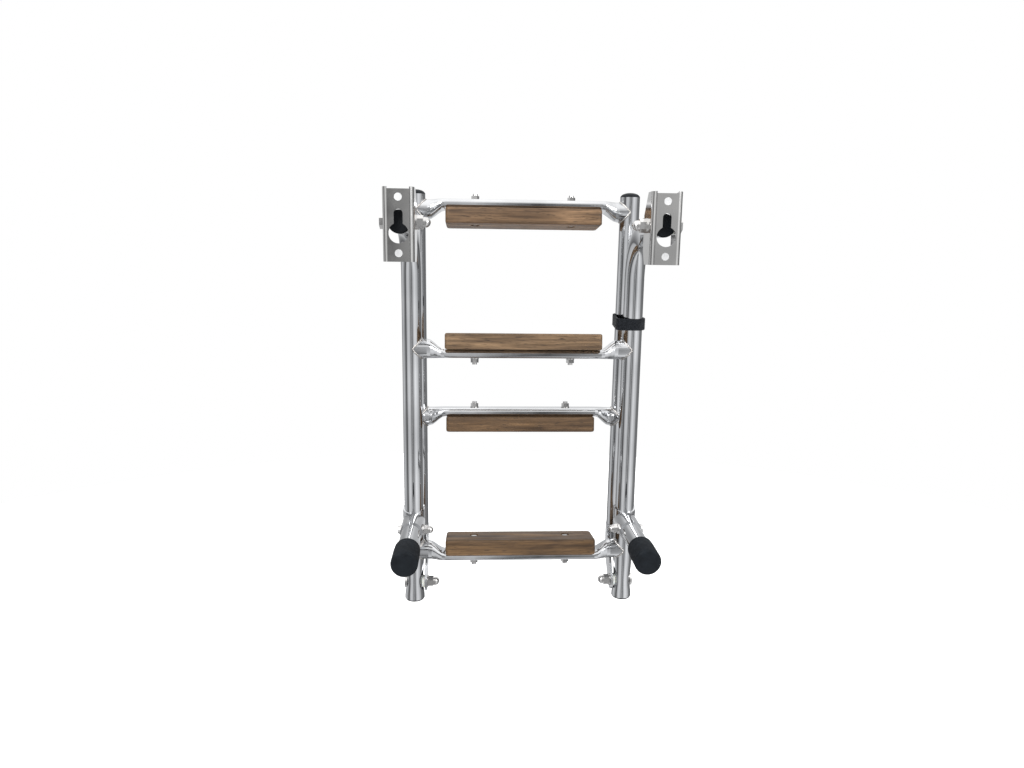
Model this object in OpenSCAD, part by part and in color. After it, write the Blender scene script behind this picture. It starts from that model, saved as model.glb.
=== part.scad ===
// Folding boat boarding ladder: two hinged tube sections with four wooden
// treads, hung on a transom by two keyhole brackets and held off it by two
// clamped arms with rubber feet. Millimetres, +Z up, +Y away from the hull.
// The origin is midway between the two keyholes, on the brackets' hull face.

/* [Tube] */
// Outside diameter of every tube
tube_d = 25; // [22:0.5:28]
// Wall of every tube
tube_wall = 1.3; // [1:0.1:2]

/* [Frame] */
// Distance between the upper rails' centre lines
rail_gap = 280; // [270:1:320]
// Distance from the hull face to the upper rails' centre lines
rail_y = 145; // [130:1:160]
// Centre line radius of the bend at the top of each rail
bend_r = 62; // [50:1:70]
// Height of the folding hinge, below the keyholes
hinge_z = -454; // [-480:1:-440]
// How far each upper rail runs on below the hinge
stub = 22; // [21:1:26]
// Height of the two upper rungs above the hinge
upper_rungs = [45, 315];
// Height of the two lower rungs above the hinge, when folded up
lower_rungs = [219, 487];
// How much nearer to the middle each lower rail stands
lower_inset = 4; // [3:0.5:5]
// How far behind the hinge the lower rails stand
lower_back = 38; // [36:0.5:42]
// Forward lean of the folded lower section, in degrees
lean = 1.3; // [0.8:0.1:1.5]
// How far the lower rails run past their last rung
rail_over = 19; // [17:1:24]

/* [Treads] */
// Length of a wooden tread
tread_l = 196; // [180:1:210]
// Depth of a wooden tread
tread_w = 50; // [44:1:54]
// Thickness of a wooden tread
tread_t = 20; // [16:1:24]
// How far the treads are set towards the hull
tread_set = 4.5; // [0:0.5:6]
// Tilt of the treads, hull side up, in degrees
tread_tilt = 8; // [6:1:8]
// Distance between the two screws of a tread
screw_gap = 122; // [100:1:140]
// Thickness of the pressed middle of a rung
flat_t = 11; // [9:0.5:14]

/* [Brackets] */
// Width of a keyhole bracket
bracket_w = 33; // [32:0.5:36]
// Height of a keyhole bracket
bracket_h = 76; // [72:1:84]
// Depth of a keyhole bracket
bracket_d = 34; // [32:0.5:36]
// Thickness of the bracket's sheet
sheet = 2.5; // [2:0.1:3]
// Diameter of the keyhole's round end
key_d = 20.8; // [20:0.1:22]
// Width of the keyhole's slot
key_slot = 9.2; // [8.5:0.1:10]

/* [Standoffs] */
// Height of the standoff arms above the hinge
arm_z = 86; // [85.5:0.5:90]
// Distance from the upper rails' centre lines to the rubber feet's faces
foot_reach = 139; // [125:1:139]
// Thickness of the clamp's sheet
clamp_t = 1.8; // [1.5:0.1:2.2]
// Outside diameter of the rubber foot
foot_d = 31.5; // [29:0.5:32]
// Length of the rubber foot
foot_l = 42; // [35:1:48]

/* [Hidden] */

$fn = 64;
LEFT = -1;
RIGHT = 1;
tube_r = tube_d / 2;
bore_r = tube_r - tube_wall;
half_gap = rail_gap / 2;
lower_x = half_gap - lower_inset;

// M8 hardware: shank, washer, hexagon across its corners, domed cap
bolt_r = 4;
running = 0.05;             // radial clearance of a turning joint
gap = 0.3;                  // clearance between faces that move past each other
washer_r = 8;
washer_t = 1.2;
hex_r = 7.5;
hex_t = 6.5;
dome_r = 5.6;
cap_t = 5.5;
head_t = 5.3;

// keyhole bracket: its pivot sits behind the web, above the keyhole
pivot_y = 23;
pivot_z = 12;
tube_end_y = 12;            // open end of the rail, behind the web
plug_lip = 2;
bracket_low = -29.3;
key_top = 24.5;             // from the keyhole's centre to the slot's top
rivets_z = [-20.5, 36.5];
rivet_r = 4;
web_drop = 2;               // from the ears' tips to the web's top edge

// swaged waist of the rail at the folding hinge, with two spot faces
waist_r = 11.2;
waist_t = 20;               // across the spot faces, along the hinge's pin
spot_r = 8.4;
swage_steps = 14;           // straight steps in the swaged profile
waist_run = 36;             // height at which the tube is full size again
waist_wall = 1.8;           // the wall thickens where the tube is swaged in
flare_r = 13.2;             // radius of the stub's open end

// rung's pressed middle: a stadium with the tube's own girth
flat_w = (PI * tube_d - PI * flat_t) / 2 + flat_t;
flat_low = -12;             // underside of the flat, below the rung's axis
flat_half = tread_l / 2 + 1;
press_run = 22;             // length of the round to flat transition
rung_r = tube_r - 0.1;      // a rung's ends, drawn a little smaller than the rails
press_steps = 5;            // stations in the transition
ring_points = 40;           // points round a rung's section
tread_low = flat_low + flat_t;
screw_r = 3;

ear_t = 3;
ear_spacer = 3.4;           // thickness of the nylon washer beside the ear
ear_x = half_gap - waist_t / 2 - ear_spacer - gap - ear_t;
ear_r = 12;
ear_top = 66;               // top of the ear's weld to the lower rail
lower_start = 21;           // lower end of the lower rails, above the hinge

clamp_in = tube_r + running;
clamp_out = clamp_in + clamp_t;
clamp_front = 45;           // how far the clamp reaches along the arm
clamp_back = 19;            // half height of its band round the rail
clamp_split = 5;            // gap between the clamp's two cheeks
arm_bolt = 33;              // from the rail's axis to the clamp's bolt
arm_bolt_r = 3;
foot_wall = 14;             // solid rubber in front of the arm's end

strap_z = 349;              // above the hinge
strap_h = 15;
strap_t = 3;

// ---------------------------------------------------------------- fasteners

module hex_nut_with_dome(r = hex_r, thick = hex_t) {
    // stands on the origin and points along +X; a domed cap nut
    scale_r = r / hex_r;
    rotate([0, 90, 0]) {
        cylinder(h = thick, r = r, $fn = 6);
        translate([0, 0, thick]) cylinder(h = cap_t * 0.4 * scale_r, r = dome_r * scale_r);
        translate([0, 0, thick + cap_t * 0.4 * scale_r])
            intersection() {
                sphere(r = dome_r * scale_r);
                cylinder(h = dome_r * scale_r, r = dome_r * scale_r);
            }
    }
}

module washer(bore, r = washer_r, t = washer_t) {
    // stands on the origin and points along +X
    rotate([0, 90, 0])
        difference() {
            cylinder(h = t, r = r);
            translate([0, 0, -1]) cylinder(h = t + 2, r = bore);
        }
}

module rod(from_x, to_x, r) {
    translate([from_x, 0, 0]) rotate([0, 90, 0]) cylinder(h = to_x - from_x, r = r);
}

module cap_nut(bore, reach) {
    // domed nut with its washer, screwed on a shank that ends at reach
    difference() {
        union() {
            washer(bore);
            translate([washer_t, 0, 0]) hex_nut_with_dome();
        }
        rod(-1, reach, bore);
    }
}

// ------------------------------------------------------------ hull brackets

module channel() {
    low = bracket_low;
    high = low + bracket_h;
    w = bracket_w / 2;
    bend = 5;
    difference() {
        // folded sheet: outer block less inner block, both with round bends
        translate([0, 0, low]) linear_extrude(bracket_h)
            difference() {
                union() {
                    translate([-w, bend]) square([2 * w, bracket_d - bend]);
                    translate([-w + bend, 0]) square([2 * w - 2 * bend, bend]);
                    for (s = [-1, 1]) translate([s * (w - bend), bend]) circle(r = bend);
                }
                translate([-w + sheet, bend]) square([2 * w - 2 * sheet, bracket_d]);
                translate([-w + bend, sheet]) square([2 * w - 2 * bend, bend]);
                for (s = [-1, 1]) translate([s * (w - bend), bend]) circle(r = bend - sheet);
            }
        // the web's top edge lies lower than its two ears
        translate([bend - w, -1, high - web_drop]) cube([2 * (w - bend), bend, bend]);
    }
}

module ear_trim() {
    // outline of a bracket's ears, seen from the side: square at the web,
    // with its two rear corners cut back
    low = bracket_low - 1;
    high = bracket_low + bracket_h + 1;
    rotate([90, 0, 90]) translate([0, 0, -bracket_w])
        linear_extrude(2 * bracket_w)
            polygon([
                [-1, low], [bracket_d - 8, low], [bracket_d + 0.01, low + 16],
                [bracket_d + 0.01, high - 24], [bracket_d - 16, high], [-1, high],
            ]);
}

module bracket(side) {
    color("silver")
    translate([side * half_gap, 0, 0])
        difference() {
            intersection() {
                channel();
                ear_trim();
            }
            // keyhole
            rotate([-90, 0, 0]) translate([0, 0, -1]) cylinder(h = sheet + 2, r = key_d / 2);
            translate([-key_slot / 2, -1, 0])
                cube([key_slot, sheet + 2, key_top - key_slot / 2]);
            translate([0, -1, key_top - key_slot / 2]) rotate([-90, 0, 0])
                cylinder(h = sheet + 2, r = key_slot / 2);
            for (z = rivets_z) translate([0, -1, z]) rotate([-90, 0, 0])
                cylinder(h = sheet + 2, r = rivet_r);
            translate([0, pivot_y, pivot_z]) rod(-bracket_w, bracket_w, bolt_r + 0.1);
        }
}

module bracket_rivets() {
    color("gainsboro")
    for (side = [LEFT, RIGHT], z = rivets_z)
        translate([side * half_gap, 0, z]) rotate([-90, 0, 0]) {
            cylinder(h = sheet, r = rivet_r);
            translate([0, 0, sheet]) cylinder(h = 1.2, r = rivet_r + 1.5);
        }
}

module pivot_bolt(side) {
    // head outside, shank through both ears and the rail's end
    color("lightgray")
    translate([side * half_gap, pivot_y, pivot_z]) scale_side(side) {
        rod(-bracket_w / 2 - 11, bracket_w / 2 + head_t, bolt_r);
        translate([bracket_w / 2, 0, 0]) hex_head();
    }
}

module hex_head() {
    difference() {
        rotate([0, 90, 0]) cylinder(h = head_t, r = hex_r, $fn = 6);
        rod(-1, head_t + 1, bolt_r);
    }
}

module scale_side(side) {
    // children drawn for the right hand side, mirrored for the left
    if (side == LEFT) mirror([1, 0, 0]) children();
    else children();
}

module pivot_nut(side) {
    color("lightgray")
    translate([side * half_gap, pivot_y, pivot_z]) scale_side(side)
        translate([-bracket_w / 2, 0, 0]) mirror([1, 0, 0]) cap_nut(bolt_r, 11);
}

module pivot_washers() {
    // nylon washers that centre each rail's end between its bracket's ears
    color("white")
    for (side = [LEFT, RIGHT])
        translate([side * half_gap, pivot_y, pivot_z])
            for (s = [-1, 1]) translate([s * (bracket_w / 2 - sheet), 0, 0])
                scale_side(-s) washer(bolt_r + 0.1, washer_r, 1.1);
}

// ------------------------------------------------------------ upper section

module bent_tube(r, past) {
    // from its end behind the bracket, back along +Y, and down round the bend;
    // past is how far it runs on beyond both of its ends
    straight = rail_y - bend_r;
    low = hinge_z + waist_run;
    translate([0, tube_end_y - past, pivot_z]) rotate([-90, 0, 0])
        cylinder(h = straight - tube_end_y + past, r = r);
    translate([0, straight, pivot_z - bend_r]) rotate([0, -90, 0])
        rotate_extrude(angle = 90) translate([bend_r, 0]) circle(r = r);
    translate([0, rail_y, low - past])
        cylinder(h = pivot_z - bend_r - low + past, r = r);
}

module oval(w, t, h = 0.01) {
    // flat oval slice with round ends, t across X and w across Y
    linear_extrude(h) {
        square([t, w - t], center = true);
        for (s = [-1, 1]) translate([0, s * (w - t) / 2]) circle(d = t, $fn = 32);
    }
}

// Half profile of the swaged end: [radius, height] along a smooth curve from
// full size through the waist at the pin to the flared mouth
function swage(wall, in_waist) = [
    for (k = [0:swage_steps]) let (z = waist_run - (waist_run + stub) * k / swage_steps,
            u = z > 0 ? z / waist_run : -z / stub,
            ease = (1 - cos(180 * u)) / 2,
            full = z > 0 ? tube_r - wall : flare_r - tube_wall * (wall > 0 ? 1 : 0))
        [in_waist + ease * (full - in_waist), z]];

module swaged_end() {
    // the rail's lower end, from full size to a waist and a flared stub
    outside = swage(0, waist_r);
    inside = swage(tube_wall, waist_r - waist_wall);
    translate([0, rail_y, hinge_z]) rotate_extrude() polygon(concat(
        [[bore_r, waist_run + 1], [tube_r, waist_run + 1]],
        outside,
        [for (k = [swage_steps:-1:0]) inside[k]]
    ));
}

module upper_rail(side) {
    color("silver")
    translate([side * half_gap, 0, 0])
        difference() {
            union() {
                difference() {
                    bent_tube(tube_r, 0);
                    bent_tube(bore_r, 1);
                }
                swaged_end();
            }
            translate([0, pivot_y, pivot_z]) rod(-tube_d, tube_d, bolt_r + running);
            translate([0, rail_y, hinge_z]) {
                rod(-tube_d, tube_d, bolt_r);
                rod(waist_t / 2, tube_d, spot_r);
                rod(-tube_d, -waist_t / 2, spot_r);
            }
        }
}

module tube_plug(inside = 16) {
    // stands on the tube's end at the origin; its lip points along +Z
    cylinder(h = plug_lip * 0.5, r = tube_r);
    translate([0, 0, plug_lip * 0.5]) cylinder(h = plug_lip * 0.5, r1 = tube_r, r2 = tube_r - 1.2);
    translate([0, 0, -inside]) cylinder(h = inside, r = bore_r - running);
}

module arm_end_plugs() {
    color("black")
    for (side = [LEFT, RIGHT])
        translate([side * half_gap, tube_end_y, pivot_z]) rotate([90, 0, 0]) tube_plug(5);
}

module stub_plugs() {
    color("black")
    for (side = [LEFT, RIGHT])
        translate([side * half_gap, rail_y, hinge_z - stub]) {
            translate([0, 0, -plug_lip]) cylinder(h = plug_lip, r1 = flare_r - 1.2, r2 = flare_r);
            // its boss narrows faster than the stub's bore does
            cylinder(h = 2, r1 = flare_r - tube_wall - running, r2 = flare_r - tube_wall - 0.6);
        }
}

// ------------------------------------------------------------ rungs, treads

// A rung's skin is swept along X through stations, each [x, u]: the section
// there is pressed flat at u = 0 and round at u = 1.
function stations(half) = concat(
    [[-half, 1]],
    [for (k = [press_steps:-1:0]) [-flat_half - press_run * k / press_steps, k / press_steps]],
    [for (k = [0:press_steps]) [flat_half + press_run * k / press_steps, k / press_steps]],
    [[half, 1]]
);

function section(x, u, inset) =
    let (ease = (1 - cos(180 * u)) / 2,
         t = flat_t + ease * (2 * rung_r - flat_t) - 2 * inset,
         w = flat_w + ease * (2 * rung_r - flat_w) - 2 * inset,
         rise = (1 - ease) * (flat_low + flat_t / 2))
    [for (k = [0:ring_points - 1]) let (a = 360 * k / ring_points)
        [x, sign(cos(a)) * (w - t) / 2 + t / 2 * cos(a), rise + t / 2 * sin(a)]];

module rung_skin(inset, half) {
    // a tube along X whose middle is pressed flat; drawn about its own axis
    places = stations(half);
    n = ring_points;
    last = len(places) - 1;
    polyhedron(
        points = [for (p = places) each section(p[0], p[1], inset)],
        faces = concat(
            [[for (k = [0:n - 1]) k]],
            [for (i = [0:last - 1], k = [0:n - 1], half_face = [0, 1])
                let (m = (k + 1) % n)
                half_face == 0 ? [i * n + k, (i + 1) * n + k, i * n + m]
                               : [i * n + m, (i + 1) * n + k, (i + 1) * n + m]],
            [[for (k = [n - 1:-1:0]) last * n + k]]
        )
    );
}

module rung(half) {
    // half is the distance to the rails' centre lines, whose tubes cope its ends
    color("silver")
    difference() {
        rung_skin(0, half);
        rung_skin(tube_wall, half + 1);
        for (s = [-1, 1]) translate([s * half, 0, 0]) rotate([tread_tilt, 0, 0])
            cylinder(h = 2 * tube_d, r = tube_r, center = true);
        for (s = [-1, 1]) translate([s * screw_gap / 2, 0, -tube_d])
            cylinder(h = 2 * tube_d, r = screw_r + running, $fn = 24);
    }
}

module tread() {
    // drawn about its rung's axis; round vertical corners and eased edges
    corner = 5;
    ease = 1.5;
    color("peru")
    translate([-tread_l / 2, -tread_w / 2 - tread_set, tread_low])
        difference() {
            hull() for (x = [corner, tread_l - corner], y = [corner, tread_w - corner]) {
                translate([x, y, ease]) cylinder(h = tread_t - 2 * ease, r = corner, $fn = 32);
                translate([x, y, 0]) cylinder(h = tread_t, r = corner - ease, $fn = 32);
            }
            for (s = [-1, 1]) translate([tread_l / 2 + s * screw_gap / 2,
                                         tread_w / 2 + tread_set, -1]) {
                cylinder(h = tread_t + 2, r = screw_r + 0.1);
                translate([0, 0, tread_t - 3]) cylinder(h = 5, r = 5.6);
            }
        }
}

module tread_screws() {
    // pan heads sunk in the tread's top, shanks down through the rung
    color("lightgray")
    for (s = [-1, 1]) translate([s * screw_gap / 2, 0, 0]) {
        translate([0, 0, flat_low - 8]) cylinder(h = tread_low + tread_t - 3 - flat_low + 8, r = screw_r);
        translate([0, 0, tread_low + tread_t - 3]) cylinder(h = 1.2, r = 5.2);
        translate([0, 0, tread_low + tread_t - 1.8]) cylinder(h = 1, r1 = 5.2, r2 = 3.6);
    }
}

module tread_nuts() {
    color("lightgray")
    for (s = [-1, 1]) translate([s * screw_gap / 2, 0, flat_low]) mirror([0, 0, 1])
        difference() {
            union() {
                cylinder(h = 1, r = 5.5);
                translate([0, 0, 1]) cylinder(h = 4.5, r = 5, $fn = 6);
            }
            translate([0, 0, -1]) cylinder(h = 8, r = screw_r);
        }
}

module upper_place(i) {
    translate([0, rail_y, hinge_z + upper_rungs[i]]) rotate([-tread_tilt, 0, 0]) children();
}

module lower_section() {
    // everything on the folded section, drawn from the hinge's axis
    translate([0, rail_y, hinge_z]) rotate([lean, 0, 0]) children();
}

module lower_place(i) {
    lower_section() translate([0, lower_back, lower_rungs[i]])
        rotate([180 - tread_tilt, 0, 0]) children();
}

// ------------------------------------------------------------------- hinge

module hinge_bolt(side) {
    // thin head outside the rail, shank through its waist and the ear
    inner = half_gap - (ear_x - gap - washer_t);
    color("lightgray")
    translate([side * half_gap, rail_y, hinge_z]) scale_side(side) {
        rod(-inner - 7.5, waist_t / 2 + 3, bolt_r);
        translate([waist_t / 2, 0, 0]) washer(bolt_r, 7.8, 3);
    }
}

module hinge_nut(side) {
    color("lightgray")
    translate([side * (ear_x - gap), rail_y, hinge_z]) scale_side(side)
        mirror([1, 0, 0]) cap_nut(bolt_r, washer_t + 7.5);
}

module hinge_washers() {
    color("white")
    for (side = [LEFT, RIGHT])
        translate([side * (half_gap - waist_t / 2), rail_y, hinge_z]) scale_side(side)
            mirror([1, 0, 0]) washer(bolt_r, washer_r, ear_spacer);
}

module hinge_ear(side) {
    color("silver")
    lower_section() scale_side(side)
        translate([ear_x, 0, 0]) difference() {
            rotate([90, 0, 90]) linear_extrude(ear_t) union() {
                circle(r = ear_r);
                // seen along X: the plate widens from the eye to the lower rail
                polygon([
                    [ear_r * cos(150), ear_r * sin(150)], [ear_r * cos(310), ear_r * sin(310)],
                    [lower_back - 2, lower_start - 2], [lower_back + 4, lower_start],
                    [lower_back + 4, ear_top], [lower_back - 6, ear_top],
                    [lower_back - 12, ear_top - 14],
                ]);
            }
            rod(-1, ear_t + 1, bolt_r + running);
        }
}

module lower_rail(side) {
    color("silver")
    lower_section()
        difference() {
            translate([side * lower_x, lower_back, lower_start])
                cylinder(h = lower_rungs[1] + rail_over - lower_start, r = tube_r);
            translate([side * lower_x, lower_back, lower_start + 3])
                cylinder(h = lower_rungs[1] + rail_over, r = bore_r);
            // slot for the welded ear
            scale_side(side) translate([ear_x - 0.02, lower_back - tube_d, 0])
                cube([ear_t + 0.04, tube_d + 4.02, ear_top + 0.02]);
        }
}

module lower_rail_plug(side) {
    color("black")
    lower_section()
        translate([side * lower_x, lower_back, lower_rungs[1] + rail_over]) tube_plug();
}

// ------------------------------------------------------------------- strap

module strap_outline(grow) {
    // seen from above, about the right upper rail: round both rails, with a
    // square shoulder on the side towards the treads
    back = lower_back - strap_z * sin(lean);
    slack = 0.5;
    r = tube_r + slack + grow;
    hull() {
        circle(r = r);
        translate([-lower_inset, back]) circle(r = r);
        translate([-tube_r - 3.5, -tube_r + 3.5]) circle(r = 4 + slack + grow - 0.5);
    }
}

module stowage_strap() {
    color([0.09, 0.10, 0.12])
    translate([half_gap, rail_y, hinge_z + strap_z - strap_h / 2])
        linear_extrude(strap_h) difference() {
            strap_outline(strap_t);
            strap_outline(0);
        }
}

// --------------------------------------------------------------- standoffs

module standoff(side) {
    // children drawn with the rail's axis on the origin and the arm along -Y
    translate([side * half_gap, rail_y, hinge_z + arm_z]) scale_side(side) children();
}

module clamp_block(r, front) {
    // band round the rail merged with the socket along the arm
    translate([0, 0, -clamp_back]) cylinder(h = 2 * clamp_back, r = r);
    rotate([90, 0, 0]) cylinder(h = front, r = r);
}

module standoff_clamp(side) {
    color("silver")
    standoff(side) difference() {
        intersection() {
            clamp_block(clamp_out, clamp_front);
            // side view: the band's corners slope down to the arm
            rotate([90, 0, 90]) translate([0, 0, -tube_d]) linear_extrude(2 * tube_d)
                polygon([
                    [-clamp_front - 1, -clamp_out], [-tube_r, -clamp_out], [1, -clamp_back],
                    [tube_d, -clamp_back], [tube_d, clamp_back], [1, clamp_back],
                    [-tube_r, clamp_out], [-clamp_front - 1, clamp_out],
                ]);
        }
        translate([0, 0, -tube_d]) cylinder(h = 2 * tube_d, r = clamp_in);
        rotate([90, 0, 0]) cylinder(h = clamp_front + 1, r = clamp_in - running);
        // split between the two cheeks, above and below the arm
        translate([-clamp_split / 2, -clamp_front - 1, -tube_d])
            cube([clamp_split, clamp_front + 1, 2 * tube_d]);
        translate([0, -arm_bolt, 0]) rod(-tube_d, tube_d, arm_bolt_r);
    }
}

module standoff_tube(side) {
    color("silver")
    standoff(side) difference() {
        rotate([90, 0, 0]) cylinder(h = foot_reach - foot_wall, r = tube_r);
        rotate([90, 0, 0]) translate([0, 0, -1]) cylinder(h = foot_reach - foot_wall + 2, r = bore_r);
        translate([0, 0, -tube_d]) cylinder(h = 2 * tube_d, r = clamp_in);
        translate([0, -arm_bolt, 0]) rod(-tube_d, tube_d, arm_bolt_r);
    }
}

module standoff_foot(side) {
    // rubber cup pushed on the arm, with an eased rim at its hull end
    ease = 2.5;
    color([0.09, 0.10, 0.12])
    standoff(side) translate([0, -foot_reach, 0]) rotate([-90, 0, 0]) difference() {
        rotate_extrude() difference() {
            union() {
                translate([0, ease]) square([foot_d / 2, foot_l - ease]);
                square([foot_d / 2 - ease, foot_l]);
                translate([foot_d / 2 - ease, ease]) circle(r = ease, $fn = 32);
            }
            translate([-foot_d, -1]) square([foot_d, foot_l + 2]);
        }
        translate([0, 0, foot_wall]) cylinder(h = foot_l, r = tube_r);
    }
}

module standoff_bolt(side) {
    color("lightgray")
    standoff(side) translate([0, -arm_bolt, 0]) {
        rod(-clamp_out - 7, clamp_out + 3.5, arm_bolt_r);
        translate([clamp_out - 1.2, 0, 0]) difference() {
            rotate([0, 90, 0]) cylinder(h = 4.7, r1 = 6, r2 = 4.6);
            rod(-1, 6, arm_bolt_r);
            rotate([90, 0, 0]) translate([1.2 - clamp_out, 0, -20]) cylinder(h = 40, r = clamp_out);
        }
    }
}

module standoff_nut(side) {
    color("lightgray")
    standoff(side) translate([-clamp_out + 1, -arm_bolt, 0]) mirror([1, 0, 0])
        difference() {
            union() {
                washer(arm_bolt_r, 7, 2.2);
                translate([2.2, 0, 0]) hex_nut_with_dome(6.2, 5);
            }
            rod(-1, 8, arm_bolt_r);
            rotate([90, 0, 0]) translate([1 - clamp_out, 0, -20]) cylinder(h = 40, r = clamp_out);
        }
}

// ------------------------------------------------------------------- nodes

bracket(LEFT);  // bracket_left
bracket(RIGHT);  // bracket_right
bracket_rivets();
pivot_bolt(LEFT);  // pivot_bolt_left
pivot_bolt(RIGHT);  // pivot_bolt_right
pivot_nut(LEFT);  // pivot_nut_left
pivot_nut(RIGHT);  // pivot_nut_right
pivot_washers();
upper_rail(LEFT);  // upper_rail_left
upper_rail(RIGHT);  // upper_rail_right
arm_end_plugs();
stub_plugs();
upper_place(0) rung(half_gap);  // rung_4
upper_place(0) tread();  // tread_4
upper_place(0) tread_screws();  // tread_screws_4
upper_place(0) tread_nuts();  // tread_nuts_4
upper_place(1) rung(half_gap);  // rung_2
upper_place(1) tread();  // tread_2
upper_place(1) tread_screws();  // tread_screws_2
upper_place(1) tread_nuts();  // tread_nuts_2
hinge_bolt(LEFT);  // hinge_bolt_left
hinge_bolt(RIGHT);  // hinge_bolt_right
hinge_nut(LEFT);  // hinge_nut_left
hinge_nut(RIGHT);  // hinge_nut_right
hinge_washers();
stowage_strap();
standoff_clamp(LEFT);  // standoff_clamp_left
standoff_tube(LEFT);  // standoff_tube_left
standoff_foot(LEFT);  // standoff_foot_left
standoff_bolt(LEFT);  // standoff_bolt_left
standoff_nut(LEFT);  // standoff_nut_left
standoff_clamp(RIGHT);  // standoff_clamp_right
standoff_tube(RIGHT);  // standoff_tube_right
standoff_foot(RIGHT);  // standoff_foot_right
standoff_bolt(RIGHT);  // standoff_bolt_right
standoff_nut(RIGHT);  // standoff_nut_right
lower_rail(LEFT);  // lower_rail_left
lower_rail(RIGHT);  // lower_rail_right
hinge_ear(LEFT);  // hinge_ear_left
hinge_ear(RIGHT);  // hinge_ear_right
lower_rail_plug(LEFT);  // lower_rail_plug_left
lower_rail_plug(RIGHT);  // lower_rail_plug_right
lower_place(0) rung(lower_x);  // rung_3
lower_place(0) tread();  // tread_3
lower_place(0) tread_screws();  // tread_screws_3
lower_place(0) tread_nuts();  // tread_nuts_3
lower_place(1) rung(lower_x);  // rung_1
lower_place(1) tread();  // tread_1
lower_place(1) tread_screws();  // tread_screws_1
lower_place(1) tread_nuts();  // tread_nuts_1
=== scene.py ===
"""Folding boat boarding ladder: polished tube, wooden treads, keyhole brackets."""

import math

import bmesh
import bpy
from mathutils import Matrix, Vector


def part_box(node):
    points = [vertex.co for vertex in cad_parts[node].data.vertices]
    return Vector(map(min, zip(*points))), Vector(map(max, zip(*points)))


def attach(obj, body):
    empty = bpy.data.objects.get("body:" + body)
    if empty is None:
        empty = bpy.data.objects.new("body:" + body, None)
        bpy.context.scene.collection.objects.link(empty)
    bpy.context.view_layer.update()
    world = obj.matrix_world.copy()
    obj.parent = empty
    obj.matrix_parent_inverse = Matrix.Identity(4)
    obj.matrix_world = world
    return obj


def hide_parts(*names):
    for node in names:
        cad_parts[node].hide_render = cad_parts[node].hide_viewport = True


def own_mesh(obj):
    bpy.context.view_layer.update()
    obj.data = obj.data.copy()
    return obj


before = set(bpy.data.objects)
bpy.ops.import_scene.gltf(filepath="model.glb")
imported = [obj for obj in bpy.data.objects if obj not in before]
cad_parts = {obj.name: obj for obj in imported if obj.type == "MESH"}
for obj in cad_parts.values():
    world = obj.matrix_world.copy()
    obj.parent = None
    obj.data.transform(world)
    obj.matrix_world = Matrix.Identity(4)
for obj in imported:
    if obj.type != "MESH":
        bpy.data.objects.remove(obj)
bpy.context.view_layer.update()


# ---------------------------------------------------------------- rails
# The four rails are thin-walled stainless tube, bent cold and then polished
# along their length, which leaves very fine lines that run the long way.

SIDES = ("left", "right")


def new_material(name):
    material = bpy.data.materials.new(name)
    material.use_nodes = True
    tree = material.node_tree
    return material, tree.nodes, tree.links, tree.nodes["Principled BSDF"]


def stretched_noise(nodes, links, stretch, low, high, detail=4.0, shift=(0, 0, 0), clip=(0.3, 0.7),
                    wave=0.0):
    """Noise in the object's own space, drawn out by stretch, as a value from low to high."""
    place = nodes.new("ShaderNodeTexCoord")
    mapping = nodes.new("ShaderNodeMapping")
    mapping.inputs["Scale"].default_value = stretch
    mapping.inputs["Location"].default_value = shift
    noise = nodes.new("ShaderNodeTexNoise")
    noise.inputs["Scale"].default_value = 1.0
    noise.inputs["Detail"].default_value = detail
    noise.inputs["Distortion"].default_value = wave
    spread = nodes.new("ShaderNodeMapRange")
    spread.inputs["From Min"].default_value = clip[0]
    spread.inputs["From Max"].default_value = clip[1]
    spread.inputs["To Min"].default_value = low
    spread.inputs["To Max"].default_value = high
    links.new(place.outputs["Object"], mapping.inputs["Vector"])
    links.new(mapping.outputs["Vector"], noise.inputs["Vector"])
    links.new(noise.outputs["Fac"], spread.inputs["Value"])
    return spread.outputs["Result"]


def blend_colours(nodes, links, factor, dark, light):
    mix = nodes.new("ShaderNodeMix")
    mix.data_type = "RGBA"
    mix.inputs["A"].default_value = (*dark, 1)
    mix.inputs["B"].default_value = (*light, 1)
    links.new(factor, mix.inputs["Factor"])
    return mix.outputs["Result"]


def bump(nodes, links, shader, height, strength, depth):
    node = nodes.new("ShaderNodeBump")
    node.inputs["Strength"].default_value = strength
    node.inputs["Distance"].default_value = depth
    links.new(height, node.inputs["Height"])
    links.new(node.outputs["Normal"], shader.inputs["Normal"])


def polished_steel(name, polish_lines, dark=(0.50, 0.505, 0.515), light=(0.66, 0.665, 0.675),
                   rough=(0.04, 0.10), line_depth=0.000008):
    """Bright stainless steel; polish_lines stretches the fine lines along the polish."""
    material, nodes, links, steel = new_material(name)
    tone = stretched_noise(nodes, links, (14, 14, 14), 0.0, 1.0, detail=3.0)
    links.new(blend_colours(nodes, links, tone, dark, light), steel.inputs["Base Color"])
    steel.inputs["Metallic"].default_value = 1.0
    links.new(stretched_noise(nodes, links, (60, 60, 60), *rough), steel.inputs["Roughness"])
    lines = stretched_noise(nodes, links, polish_lines, 0.0, 1.0, detail=2.0)
    bump(nodes, links, steel, lines, 0.25, line_depth)
    return material


def finish_nodes(material, *names):
    """The CAD's own pieces keep their shape and take this material."""
    for name in names:
        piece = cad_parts[name]
        if not piece.material_slots:
            piece.data.materials.append(material)
        for place in piece.material_slots:
            place.material = material


upright_tube = polished_steel("polished upright tube", (900, 900, 25))
finish_nodes(upright_tube, *(f"{part}_rail_{side}" for part in ("upper", "lower") for side in SIDES))


# ------------------------------------------------- plugs in the rails' ends
# Moulded black plastic plugs close the rails: low domes on the lower
# section's free ends, flat ones in the bracket ends and the flared stubs.

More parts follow.
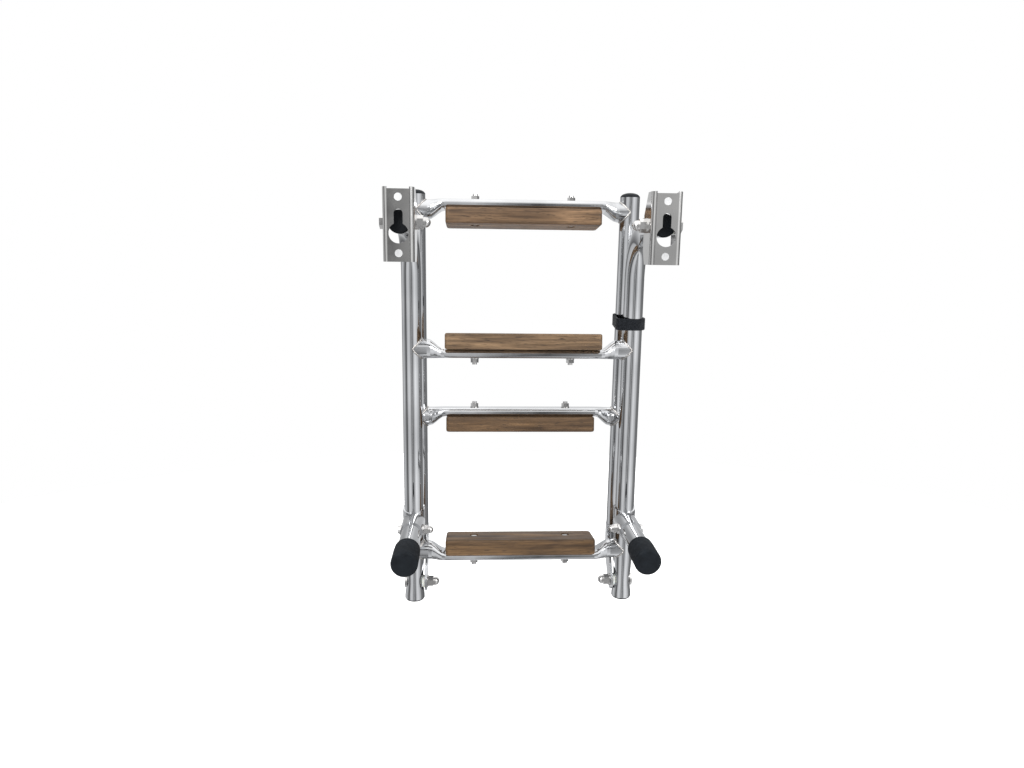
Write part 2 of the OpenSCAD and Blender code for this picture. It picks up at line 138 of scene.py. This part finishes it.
def black_moulding(name, grain, shade, sheen_rough):
    """Moulded black plastic or rubber with a fine eggshell grain."""
    material, nodes, links, shader = new_material(name)
    tone = stretched_noise(nodes, links, (90, 90, 90), 0.0, 1.0)
    pale = tuple(2.2 * c for c in shade)
    links.new(blend_colours(nodes, links, tone, shade, pale), shader.inputs["Base Color"])
    links.new(stretched_noise(nodes, links, (220, 220, 220), *sheen_rough),
              shader.inputs["Roughness"])
    shader.inputs["Specular IOR Level"].default_value = 0.16
    bump(nodes, links, shader, stretched_noise(nodes, links, (grain,) * 3, 0.0, 1.0), 0.35, 0.0001)
    return material


def smooth(piece, angle=35):
    """Smooth shading, with the edges sharper than angle kept crisp."""
    work = bmesh.new()
    work.from_mesh(piece.data)
    limit = math.radians(angle)
    for edge in work.edges:
        edge.smooth = len(edge.link_faces) == 2 and edge.calc_face_angle(0) < limit
    for face in work.faces:
        face.smooth = True
    work.to_mesh(piece.data)
    work.free()


def add_piece(name, work, material, body, place=None, crisp=35):
    """Turns finished mesh work into a piece that rides on a body; place is a matrix."""
    mesh = bpy.data.meshes.new(name)
    bmesh.ops.recalc_face_normals(work, faces=work.faces)
    work.to_mesh(mesh)
    work.free()
    mesh.materials.append(material)
    piece = bpy.data.objects.new(name, mesh)
    bpy.context.scene.collection.objects.link(piece)
    if place is not None:
        piece.matrix_world = place
    smooth(piece, crisp)
    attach(piece, body)
    return piece


def turned_piece(name, profile, place, material, body, segments=72):
    """A closed turned shape: profile is (radius, height) pairs about local Z, placed by a matrix."""
    work = bmesh.new()
    rings = []
    for radius, height in profile:
        if radius == 0:
            rings.append([work.verts.new((0, 0, height))])
            continue
        turns = (2 * math.pi * k / segments for k in range(segments))
        rings.append([work.verts.new((radius * math.cos(a), radius * math.sin(a), height)) for a in turns])
    for low, high in zip(rings, rings[1:]):
        for k in range(segments):
            n = (k + 1) % segments
            corners = [low[k % len(low)], low[n % len(low)], high[n % len(high)], high[k % len(high)]]
            work.faces.new(list(dict.fromkeys(corners)))
    return add_piece(name, work, material, body, place)


def rounded(radius, height, fillet, steps=6):
    """The last stretch of a profile: up a wall to height, and over a fillet towards the middle."""
    quarter = (math.pi / 2 * k / steps for k in range(steps + 1))
    return [(radius - fillet + fillet * math.cos(a), height - fillet + fillet * math.sin(a))
            for a in quarter]


plug_black = black_moulding("moulded plug plastic", 700, (0.0035, 0.0045, 0.0060), (0.42, 0.55))
finish_nodes(plug_black, "arm_end_plugs", "stub_plugs")
LEAN = math.radians(1.3)         # how far the folded lower section leans
tube_radius = 0.0125
plug_lip = 0.0025                # the CAD plug's lip, which the domed one starts under
plug_stem = 0.004                # how far the plug goes down into the tube
lip_step = 0.0012                # height of the lip, where the dome begins
dome_rise = 0.0046
dome_share = 0.93                # the dome's radius as a share of the tube's
for side in SIDES:
    low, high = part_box(f"lower_rail_plug_{side}")
    rim = high[2] - plug_lip
    middle = Vector(((low[0] + high[0]) / 2, (low[1] + high[1]) / 2, rim))
    dome = [(tube_radius * math.cos(a) * dome_share, lip_step + dome_rise * math.sin(a))
            for a in (math.pi / 2 * k / 8 for k in range(1, 8))]
    profile = [(0, -plug_stem), (0.0105, -plug_stem), (0.0107, 0)]
    profile += [(0.0124, 0), (tube_radius, 0.0005), (0.0122, 0.0011)]
    profile += dome + [(0, lip_step + dome_rise)]
    plug = turned_piece(f"domed_plug_{side}", profile,
                        Matrix.Translation(middle) @ Matrix.Rotation(LEAN, 4, "X"),
                        plug_black, "lower_section")
    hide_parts(f"lower_rail_plug_{side}")


# ---------------------------------------------------------------- rungs
# Each rung is a length of the same tube, its middle pressed flat to carry a
# board, coped to the rails at both ends and polished along its length.

TREAD_TILT = math.radians(8)     # the boards' hull side stands this much higher
RUNG_ROUND_FROM = 0.122          # beyond this X a rung is full round tube


def rung_place(number):
    """Where a rung's axis crosses the middle, and how far its section leans."""
    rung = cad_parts[f"rung_{number}"]
    ends = [rung.matrix_world @ v.co for v in rung.data.vertices]
    ends = [point for point in ends if point.x > RUNG_ROUND_FROM]
    middle = [(min(p[axis] for p in ends) + max(p[axis] for p in ends)) / 2 for axis in (1, 2)]
    return Vector((0, *middle)), (LEAN if number in (1, 3) else 0.0)


level_tube = polished_steel("polished rung tube", (25, 900, 900), rough=(0.07, 0.15))
finish_nodes(level_tube, *(f"rung_{n}" for n in (1, 2, 3, 4)))


# ---------------------------------------------------------------- welds
# A narrow bead of weld runs right round each end of each rung, where it
# meets its rail. Polishing leaves it bright, with shallow ripples.

def join_rings(work, rings):
    """Skins a closed chain of rings, each one joined to the next and the last to the first."""
    for here, after in zip(rings, rings[1:] + rings[:1]):
        for n in range(len(here)):
            m = (n + 1) % len(here)
            work.faces.new((here[n], here[m], after[m], after[n]))


def middle_x(node):
    low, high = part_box(node)
    return (low[0] + high[0]) / 2


def weld_bead(name, path, thickness, material, body, place, ripples=60):
    """A closed bead along a closed path, swollen a little at each ripple."""
    count = len(path)
    sides = 8
    work = bmesh.new()
    rings = []
    for k, point in enumerate(path):
        along = (path[(k + 1) % count] - path[k - 1]).normalized()
        across = along.cross(Vector((1, 0, 0))).normalized()
        other = along.cross(across)
        swell = thickness * (1 + 0.10 * math.sin(2 * math.pi * ripples * k / count))
        turns = (2 * math.pi * n / sides for n in range(sides))
        rings.append([work.verts.new(point + swell * (math.cos(a) * across + math.sin(a) * other))
                      for a in turns])
    join_rings(work, rings)
    add_piece(name, work, material, body, place, crisp=80)


weld_steel = polished_steel("polished weld", (300, 300, 300), dark=(0.42, 0.40, 0.38),
                            light=(0.60, 0.58, 0.56), rough=(0.16, 0.30))
rung_radius = 0.0124
bead_radius = 0.0011
bead_inset = 0.0003         # the bead's middle stands this far off the rail
bead_points = 240
RUNG_SECTIONS = {1: "lower_section", 2: "upper_section", 3: "lower_section", 4: "upper_section"}
for number, section in RUNG_SECTIONS.items():
    middle, tilt = rung_place(number)
    place = Matrix.Translation(middle) @ Matrix.Rotation(tilt, 4, "X")
    rail_x = middle_x("lower_rail_right" if tilt else "upper_rail_right")
    for side, sign in (("left", -1), ("right", 1)):
        path = []
        for k in range(bead_points):
            angle = 2 * math.pi * k / bead_points
            y = rung_radius * math.cos(angle)
            x = rail_x - math.sqrt(tube_radius ** 2 - y ** 2)
            path.append(Vector((sign * (x - bead_inset), y, rung_radius * math.sin(angle))))
        weld_bead(f"rung_{number}_weld_{side}", path, bead_radius, weld_steel, section, place)


# ---------------------------------------------------------------- treads
# Four boards of oiled open-grained hardwood, sawn, planed and rounded over
# on every edge, each bolted to its rung by two screws in sunk holes.

def hardwood(name, shift, dark, light):
    """Oiled hardwood: broad waving bands, fine streaks and short dark pores along X."""
    material, nodes, links, wood = new_material(name)
    bands = stretched_noise(nodes, links, (9, 70, 95), 0.0, 1.0, detail=5.0, shift=shift, wave=0.9)
    streaks = stretched_noise(nodes, links, (14, 420, 420), 0.0, 1.0, detail=3.0, shift=shift)
    pores = stretched_noise(nodes, links, (90, 1500, 1500), 0.0, 1.0, detail=1.0, shift=shift,
                            clip=(0.60, 0.72))
    ground = blend_colours(nodes, links, bands, dark, light)
    shadow = tuple(0.62 * c for c in dark)
    fine = nodes.new("ShaderNodeMix")
    fine.data_type = "RGBA"
    fine.blend_type = "MULTIPLY"
    fine.inputs["Factor"].default_value = 0.85
    streak_tone = blend_colours(nodes, links, streaks, (0.48, 0.45, 0.42), (1.25, 1.24, 1.22))
    links.new(ground, fine.inputs["A"])
    links.new(streak_tone, fine.inputs["B"])
    pored = nodes.new("ShaderNodeMix")
    pored.data_type = "RGBA"
    pored.inputs["B"].default_value = (*shadow, 1)
    links.new(pores, pored.inputs["Factor"])
    links.new(fine.outputs["Result"], pored.inputs["A"])
    links.new(pored.outputs["Result"], wood.inputs["Base Color"])
    links.new(stretched_noise(nodes, links, (30, 200, 200), 0.42, 0.62, shift=shift),
              wood.inputs["Roughness"])
    wood.inputs["Specular IOR Level"].default_value = 0.35
    relief = nodes.new("ShaderNodeMath")
    relief.operation = "SUBTRACT"
    links.new(streaks, relief.inputs[0])
    links.new(pores, relief.inputs[1])
    bump(nodes, links, wood, relief.outputs["Value"], 0.5, 0.0002)
    return material


def apply_modifiers(piece):
    """Bakes a piece's modifiers into its mesh."""
    bpy.context.view_layer.update()
    seen = piece.evaluated_get(bpy.context.evaluated_depsgraph_get())
    final = bpy.data.meshes.new_from_object(seen)
    piece.modifiers.clear()
    piece.data = final


tread_length = 0.196
tread_depth = 0.050
tread_thick = 0.020
tread_offset = 0.0045       # the boards sit this far towards the hull
board_under = -0.001        # underside of the board, above the rung's axis
corner_round = 0.005
edge_round = 0.0024
screw_x = 0.061
sink_radius = 0.0056        # the sunk hole for each screw's head
sink_depth = 0.003
shank_hole = 0.0032
overshoot = 0.002           # the drill starts this far above the board
# section, place in the timber, darkest and palest tone
BOARDS = {
    1: ("lower_section", (3.1, 0.7, 0.2), (0.061, 0.033, 0.015), (0.241, 0.146, 0.078)),
    2: ("upper_section", (7.7, 2.9, 1.4), (0.058, 0.033, 0.016), (0.249, 0.160, 0.088)),
    3: ("lower_section", (1.3, 5.2, 3.3), (0.035, 0.018, 0.008), (0.143, 0.083, 0.039)),
    4: ("upper_section", (9.4, 4.1, 6.5), (0.043, 0.023, 0.010), (0.171, 0.098, 0.042)),
}
for number, (section, shift, dark, light) in BOARDS.items():
    work = bmesh.new()
    bmesh.ops.create_cube(work, size=1)
    bmesh.ops.scale(work, vec=(tread_length, tread_depth, tread_thick), verts=work.verts)
    bmesh.ops.translate(work, vec=(0, -tread_offset, board_under + tread_thick / 2), verts=work.verts)
    uprights = [e for e in work.edges if abs(e.verts[0].co.z - e.verts[1].co.z) > tread_thick / 2]
    bmesh.ops.bevel(work, geom=uprights, offset=corner_round, segments=6, profile=0.5, affect="EDGES")
    rims = [e for e in work.edges if abs(e.calc_face_angle(0) - math.pi / 2) < 0.1]
    bmesh.ops.bevel(work, geom=rims, offset=edge_round, segments=4, profile=0.5, affect="EDGES")
    mesh = bpy.data.meshes.new(f"board_{number}")
    work.to_mesh(mesh)
    work.free()
    board = bpy.data.objects.new(f"hardwood_tread_{number}", mesh)
    bpy.context.scene.collection.objects.link(board)
    for sign in (-1, 1):
        for radius, depth in ((sink_radius, sink_depth), (shank_hole, tread_thick + overshoot)):
            drill = bmesh.new()
            bmesh.ops.create_cone(drill, cap_ends=True, segments=40, radius1=radius, radius2=radius,
                                  depth=depth + overshoot)
            drill_z = board_under + tread_thick + overshoot - (depth + overshoot) / 2
            bmesh.ops.translate(drill, vec=(sign * screw_x, 0, drill_z), verts=drill.verts)
            cutter_mesh = bpy.data.meshes.new("drill")
            drill.to_mesh(cutter_mesh)
            drill.free()
            cutter = bpy.data.objects.new("drill", cutter_mesh)
            bpy.context.scene.collection.objects.link(cutter)
            cut = board.modifiers.new("hole", "BOOLEAN")
            cut.object = cutter
            cut.solver = "EXACT"
            apply_modifiers(board)
            bpy.data.objects.remove(cutter)
    board.data.materials.clear()
    board.data.materials.append(hardwood(f"oiled hardwood {number}", shift, dark, light))
    smooth(board, 30)
    middle, tilt = rung_place(number)
    flip = (math.pi if section == "lower_section" else 0.0) + tilt - TREAD_TILT
    board.matrix_world = Matrix.Translation(middle) @ Matrix.Rotation(flip, 4, "X")
    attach(board, section)
    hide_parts(f"tread_{number}")


# ------------------------------------------------------- screws and nuts
# Stainless machine screws and nuts hold the boards; domed cap nuts finish
# the hinge, pivot and clamp bolts. All are bright and turned, not polished.

bright_hardware = polished_steel("bright fasteners", (260, 260, 260), dark=(0.52, 0.51, 0.50),
                                 light=(0.70, 0.69, 0.68), rough=(0.14, 0.24))
finish_nodes(bright_hardware, *(f"tread_{part}_{n}" for part in ("screws", "nuts") for n in BOARDS))
finish_nodes(bright_hardware, *(f"{joint}_{part}_{side}" for joint in ("pivot", "hinge", "standoff")
                                for part in ("bolt", "nut") for side in SIDES))
rivet_face = polished_steel("flush rivet face", (500, 500, 500), dark=(0.74, 0.74, 0.74),
                            light=(0.88, 0.88, 0.88), rough=(0.42, 0.55))
finish_nodes(rivet_face, "bracket_rivets")


# --------------------------------------------------------- nylon washers
# White nylon washers keep steel off steel at the pivots and the fold hinge.

nylon, nylon_nodes, nylon_links, nylon_shader = new_material("natural nylon")
nylon_tone = stretched_noise(nylon_nodes, nylon_links, (150, 150, 150), 0.0, 1.0)
nylon_links.new(blend_colours(nylon_nodes, nylon_links, nylon_tone, (0.50, 0.49, 0.46), (0.66, 0.65, 0.61)),
                nylon_shader.inputs["Base Color"])
nylon_shader.inputs["Roughness"].default_value = 0.45
nylon_shader.inputs["Subsurface Weight"].default_value = 0.1
finish_nodes(nylon, "pivot_washers", "hinge_washers")


# ------------------------------------------------------ keyhole brackets
# Each bracket is a channel folded from bright rolled sheet, pierced with a
# keyhole. Handling leaves faint scuffs across the rolled finish.

rolled_sheet = polished_steel("rolled bracket sheet", (40, 300, 700), dark=(0.48, 0.475, 0.465),
                              light=(0.66, 0.65, 0.635), rough=(0.07, 0.16), line_depth=0.00001)
finish_nodes(rolled_sheet, *(f"bracket_{side}" for side in SIDES))


# ---------------------------------------------------------- standoff arms
# A sheet clamp grips each upper rail and a short polished tube, which
# carries a thick black rubber foot that bears on the hull.

arm_tube = polished_steel("polished arm tube", (900, 25, 900))
finish_nodes(arm_tube, *(f"standoff_tube_{side}" for side in SIDES))
clamp_sheet = polished_steel("pressed clamp sheet", (120, 120, 500), rough=(0.10, 0.20))
finish_nodes(clamp_sheet, *(f"standoff_clamp_{side}" for side in SIDES))
foot_rubber = black_moulding("matt foot rubber", 520, (0.0035, 0.0048, 0.0065), (0.60, 0.78))
socket_depth = 0.014        # rubber left beyond the arm tube's end
for side in SIDES:
    low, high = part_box(f"standoff_foot_{side}")
    length = high[1] - low[1]
    radius = (high[0] - low[0]) / 2
    bore = tube_radius + 0.0001
    centre = Vector(((low[0] + high[0]) / 2, high[1], (low[2] + high[2]) / 2))
    # socket, rim, the groove near the mouth, and the rounded bearing end
    profile = [(0, length - socket_depth), (bore, length - socket_depth), (bore, 0.0006), (bore + 0.0008, 0)]
    profile += [(radius - 0.0016, 0), (radius - 0.0004, 0.0007), (radius - 0.0003, 0.004)]
    profile += [(radius - 0.0008, 0.0046), (radius - 0.0003, 0.0052), (radius, 0.010)]
    profile += rounded(radius, length, 0.0032) + [(radius - 0.0055, length - 0.0002), (0, length - 0.0006)]
    foot = turned_piece(f"rubber_foot_{side}", profile,
                        Matrix.Translation(centre) @ Matrix.Rotation(math.pi / 2, 4, "X"),
                        foot_rubber, f"standoff_{side}", segments=96)
    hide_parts(f"standoff_foot_{side}")


# ---------------------------------------------------------- fold hinges
# Each hinge is a flat ear let into the lower rail and welded along both
# edges. It turns on the bolt through the waist of the upper rail.

ear_plate = polished_steel("polished hinge plate", (200, 200, 200), rough=(0.12, 0.22))
finish_nodes(ear_plate, *(f"hinge_ear_{side}" for side in SIDES))


# ---------------------------------------------------------- stowage strap
# A black woven band goes once round the right-hand rails and fastens on
# itself with hook and loop, so the folded section can't swing open.

def webbing(name, pitch):
    """Black woven webbing: a fine rib across the band and fuzz between the threads."""
    material, nodes, links, cloth = new_material(name)
    place = nodes.new("ShaderNodeTexCoord")
    weave = nodes.new("ShaderNodeTexWave")
    weave.bands_direction = "Z"
    weave.inputs["Scale"].default_value = 1 / pitch
    weave.inputs["Distortion"].default_value = 1.5
    links.new(place.outputs["Object"], weave.inputs["Vector"])
    tone = stretched_noise(nodes, links, (400, 400, 400), 0.0, 1.0)
    links.new(blend_colours(nodes, links, tone, (0.004, 0.005, 0.007), (0.014, 0.016, 0.020)),
              cloth.inputs["Base Color"])
    cloth.inputs["Roughness"].default_value = 0.85
    cloth.inputs["Sheen Weight"].default_value = 0.06
    cloth.inputs["Specular IOR Level"].default_value = 0.12
    bump(nodes, links, cloth, weave.outputs["Fac"], 0.6, 0.0003)
    return material


def band_path(circles, steps):
    """The taut outline round some circles, given as (centre x, centre y, radius)."""
    path = []
    for k in range(steps):
        angle = 2 * math.pi * k / steps
        out = Vector((math.cos(angle), math.sin(angle)))
        cx, cy, r = max(circles, key=lambda c: c[0] * out.x + c[1] * out.y + c[2])
        path.append((Vector((cx, cy)) + r * out, out))
    return path


low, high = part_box("stowage_strap")
strap_height = high[2] - low[2]
strap_mid = (low[2] + high[2]) / 2
front_x = middle_x("upper_rail_right")
front_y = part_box("upper_rail_right")[1][1] - tube_radius
rear_x = middle_x("lower_rail_right")
strap_clear = 0.0035        # strap and slack behind the rear rail
rear_y = high[1] - strap_clear - tube_radius
strap_thick = 0.0028
slack = 0.0006
hugging = [
    (front_x, front_y, tube_radius + slack), (rear_x, rear_y, tube_radius + slack),
    # the corner where the band's two ends overlap
    (front_x - tube_radius - strap_clear, front_y - tube_radius + strap_clear, 0.004),
]
# the band's cross-section, as shares of its thickness and its height
band_section = [(0.0, -0.5), (0.12, -0.5), (0.5, -0.5), (0.88, -0.5), (1.0, -0.46), (1.0, -0.2), (1.0, 0.2),
                (1.0, 0.46), (0.88, 0.5), (0.5, 0.5), (0.12, 0.5), (0.0, 0.46), (0.0, 0.2), (0.0, -0.2),
                (0.0, -0.46)]
slant = 0.05                # rise of the band per metre towards the rear
band_share = 0.96           # the band's height as a share of the CAD strap's
work = bmesh.new()
rings = []
for point, out in band_path(hugging, 180):
    rise = strap_mid + slant * (point.y - front_y) - 0.25 * slant * (point.x - front_x)
    ring = []
    for depth, height in band_section:
        spot = point + out * depth * strap_thick
        ring.append(work.verts.new((spot.x, spot.y, rise + height * strap_height * band_share)))
    rings.append(ring)
join_rings(work, rings)
band_cloth = webbing("black webbing", 0.0011)
strap = add_piece("woven_strap", work, band_cloth, "upper_section", crisp=60)
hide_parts("stowage_strap")
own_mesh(strap)


# ---------------------------------------------------------------- studio
# A pale floor well below the ladder, a bright tent of light with darker
# walls for the polished steel to reflect, and the camera.

scene = bpy.context.scene
scene.view_settings.view_transform = "Standard"
world = bpy.data.worlds.new("studio tent")
scene.world = world
world.use_nodes = True
tent = world.node_tree.nodes
ties = world.node_tree.links
tent.clear()
world_out = tent.new("ShaderNodeOutputWorld")
direction = tent.new("ShaderNodeTexCoord")
parts = tent.new("ShaderNodeSeparateXYZ")
ties.new(direction.outputs["Generated"], parts.inputs["Vector"])
turn = tent.new("ShaderNodeMath")
turn.operation = "ARCTAN2"
ties.new(parts.outputs["X"], turn.inputs[0])
ties.new(parts.outputs["Y"], turn.inputs[1])
around = tent.new("ShaderNodeMapRange")
around.inputs["From Min"].default_value = -math.pi
around.inputs["From Max"].default_value = math.pi
ties.new(turn.outputs["Value"], around.inputs["Value"])
walls = tent.new("ShaderNodeValToRGB")
ties.new(around.outputs["Result"], walls.inputs["Fac"])
# brightness of the walls, once round from the viewer's side through the left, the back and the right
WALLS = ((0.0, 0.78), (0.0145, 0.52), (0.0165, 0.17), (0.024, 0.13), (0.040, 0.62), (0.10, 1.00),
         (0.16, 0.62), (0.175, 0.10), (0.21, 0.22), (0.30, 0.80), (0.37, 0.62), (0.385, 0.16),
         (0.42, 0.34), (0.5, 0.90), (0.60, 0.42), (0.615, 0.10), (0.66, 0.24), (0.76, 0.30),
         (0.80, 0.74), (0.90, 1.20), (0.950, 0.66), (0.968, 0.46), (0.985, 0.06), (0.994, 0.30),
         (1.0, 0.78))
while len(walls.color_ramp.elements) < len(WALLS):
    walls.color_ramp.elements.new(0.5)
for stop, (where, level) in zip(walls.color_ramp.elements, WALLS):
    stop.position = where
    stop.color = (level * 0.985, level * 0.995, level * 1.01, 1)
lift = tent.new("ShaderNodeMapRange")
lift.inputs["From Min"].default_value = 0.25
lift.inputs["From Max"].default_value = 0.85
ties.new(parts.outputs["Z"], lift.inputs["Value"])
roof = tent.new("ShaderNodeMix")
roof.data_type = "RGBA"
roof.inputs["B"].default_value = (1.6, 1.6, 1.6, 1)
ties.new(lift.outputs["Result"], roof.inputs["Factor"])
ties.new(walls.outputs["Color"], roof.inputs["A"])
lit = tent.new("ShaderNodeBackground")
lit.inputs["Strength"].default_value = 1.0
ties.new(roof.outputs["Result"], lit.inputs["Color"])
plain = tent.new("ShaderNodeBackground")
plain.inputs["Color"].default_value = (1, 1, 1, 1)
rays = tent.new("ShaderNodeLightPath")
choose = tent.new("ShaderNodeMixShader")
ties.new(rays.outputs["Is Camera Ray"], choose.inputs["Fac"])
ties.new(lit.outputs["Background"], choose.inputs[1])
ties.new(plain.outputs["Background"], choose.inputs[2])
ties.new(choose.outputs["Shader"], world_out.inputs["Surface"])

for name, spot, size, power in (("key", (-1.4, -1.9, 1.3), 1.1, 42), ("fill", (1.8, -1.4, 0.8), 1.0, 22)):
    lamp = bpy.data.lights.new(name, "AREA")
    lamp.energy = power
    lamp.size = size
    holder = bpy.data.objects.new(name, lamp)
    scene.collection.objects.link(holder)
    aim = Vector((0, 0.1, -0.25)) - Vector(spot)
    holder.matrix_world = Matrix.Translation(spot) @ aim.to_track_quat("-Z", "Y").to_matrix().to_4x4()

floor_mesh = bpy.data.meshes.new("floor")
work = bmesh.new()
bmesh.ops.create_circle(work, cap_ends=True, segments=96, radius=3.0)
work.to_mesh(floor_mesh)
work.free()
floor = bpy.data.objects.new("floor", floor_mesh)
floor.location = (0, 0, -1.08)      # clear of the ladder when it hangs unfolded
floor.visible_glossy = False
scene.collection.objects.link(floor)
paper, paper_nodes, paper_links, paper_shader = new_material("pale paper")
paper_tone = stretched_noise(paper_nodes, paper_links, (3, 3, 3), 0.0, 1.0)
paper_colour = blend_colours(paper_nodes, paper_links, paper_tone, (0.93, 0.93, 0.93), (0.96, 0.96, 0.96))
paper_links.new(paper_colour, paper_shader.inputs["Base Color"])
paper_shader.inputs["Roughness"].default_value = 0.9
paper_shader.inputs["Emission Color"].default_value = (1, 1, 1, 1)
paper_shader.inputs["Emission Strength"].default_value = 0.35
floor_mesh.materials.append(paper)

lens = bpy.data.cameras.new("camera")
camera = bpy.data.objects.new("camera", lens)
scene.collection.objects.link(camera)
scene.camera = camera
lens.sensor_width = 36.0
lens.lens = 25.2
yaw, pitch, roll = 0.0524, -0.1804, 0.0133
ahead = Vector((math.sin(yaw) * math.cos(pitch), math.cos(yaw) * math.cos(pitch), math.sin(pitch)))
level = Vector((math.cos(yaw), -math.sin(yaw), 0))
above = level.cross(ahead)
right = math.cos(roll) * level + math.sin(roll) * above
top = math.cos(roll) * above - math.sin(roll) * level
facing = Matrix((right, top, -ahead)).transposed().to_4x4()
camera.matrix_world = Matrix.Translation((-0.0604, -0.7605, -0.0190)) @ facing
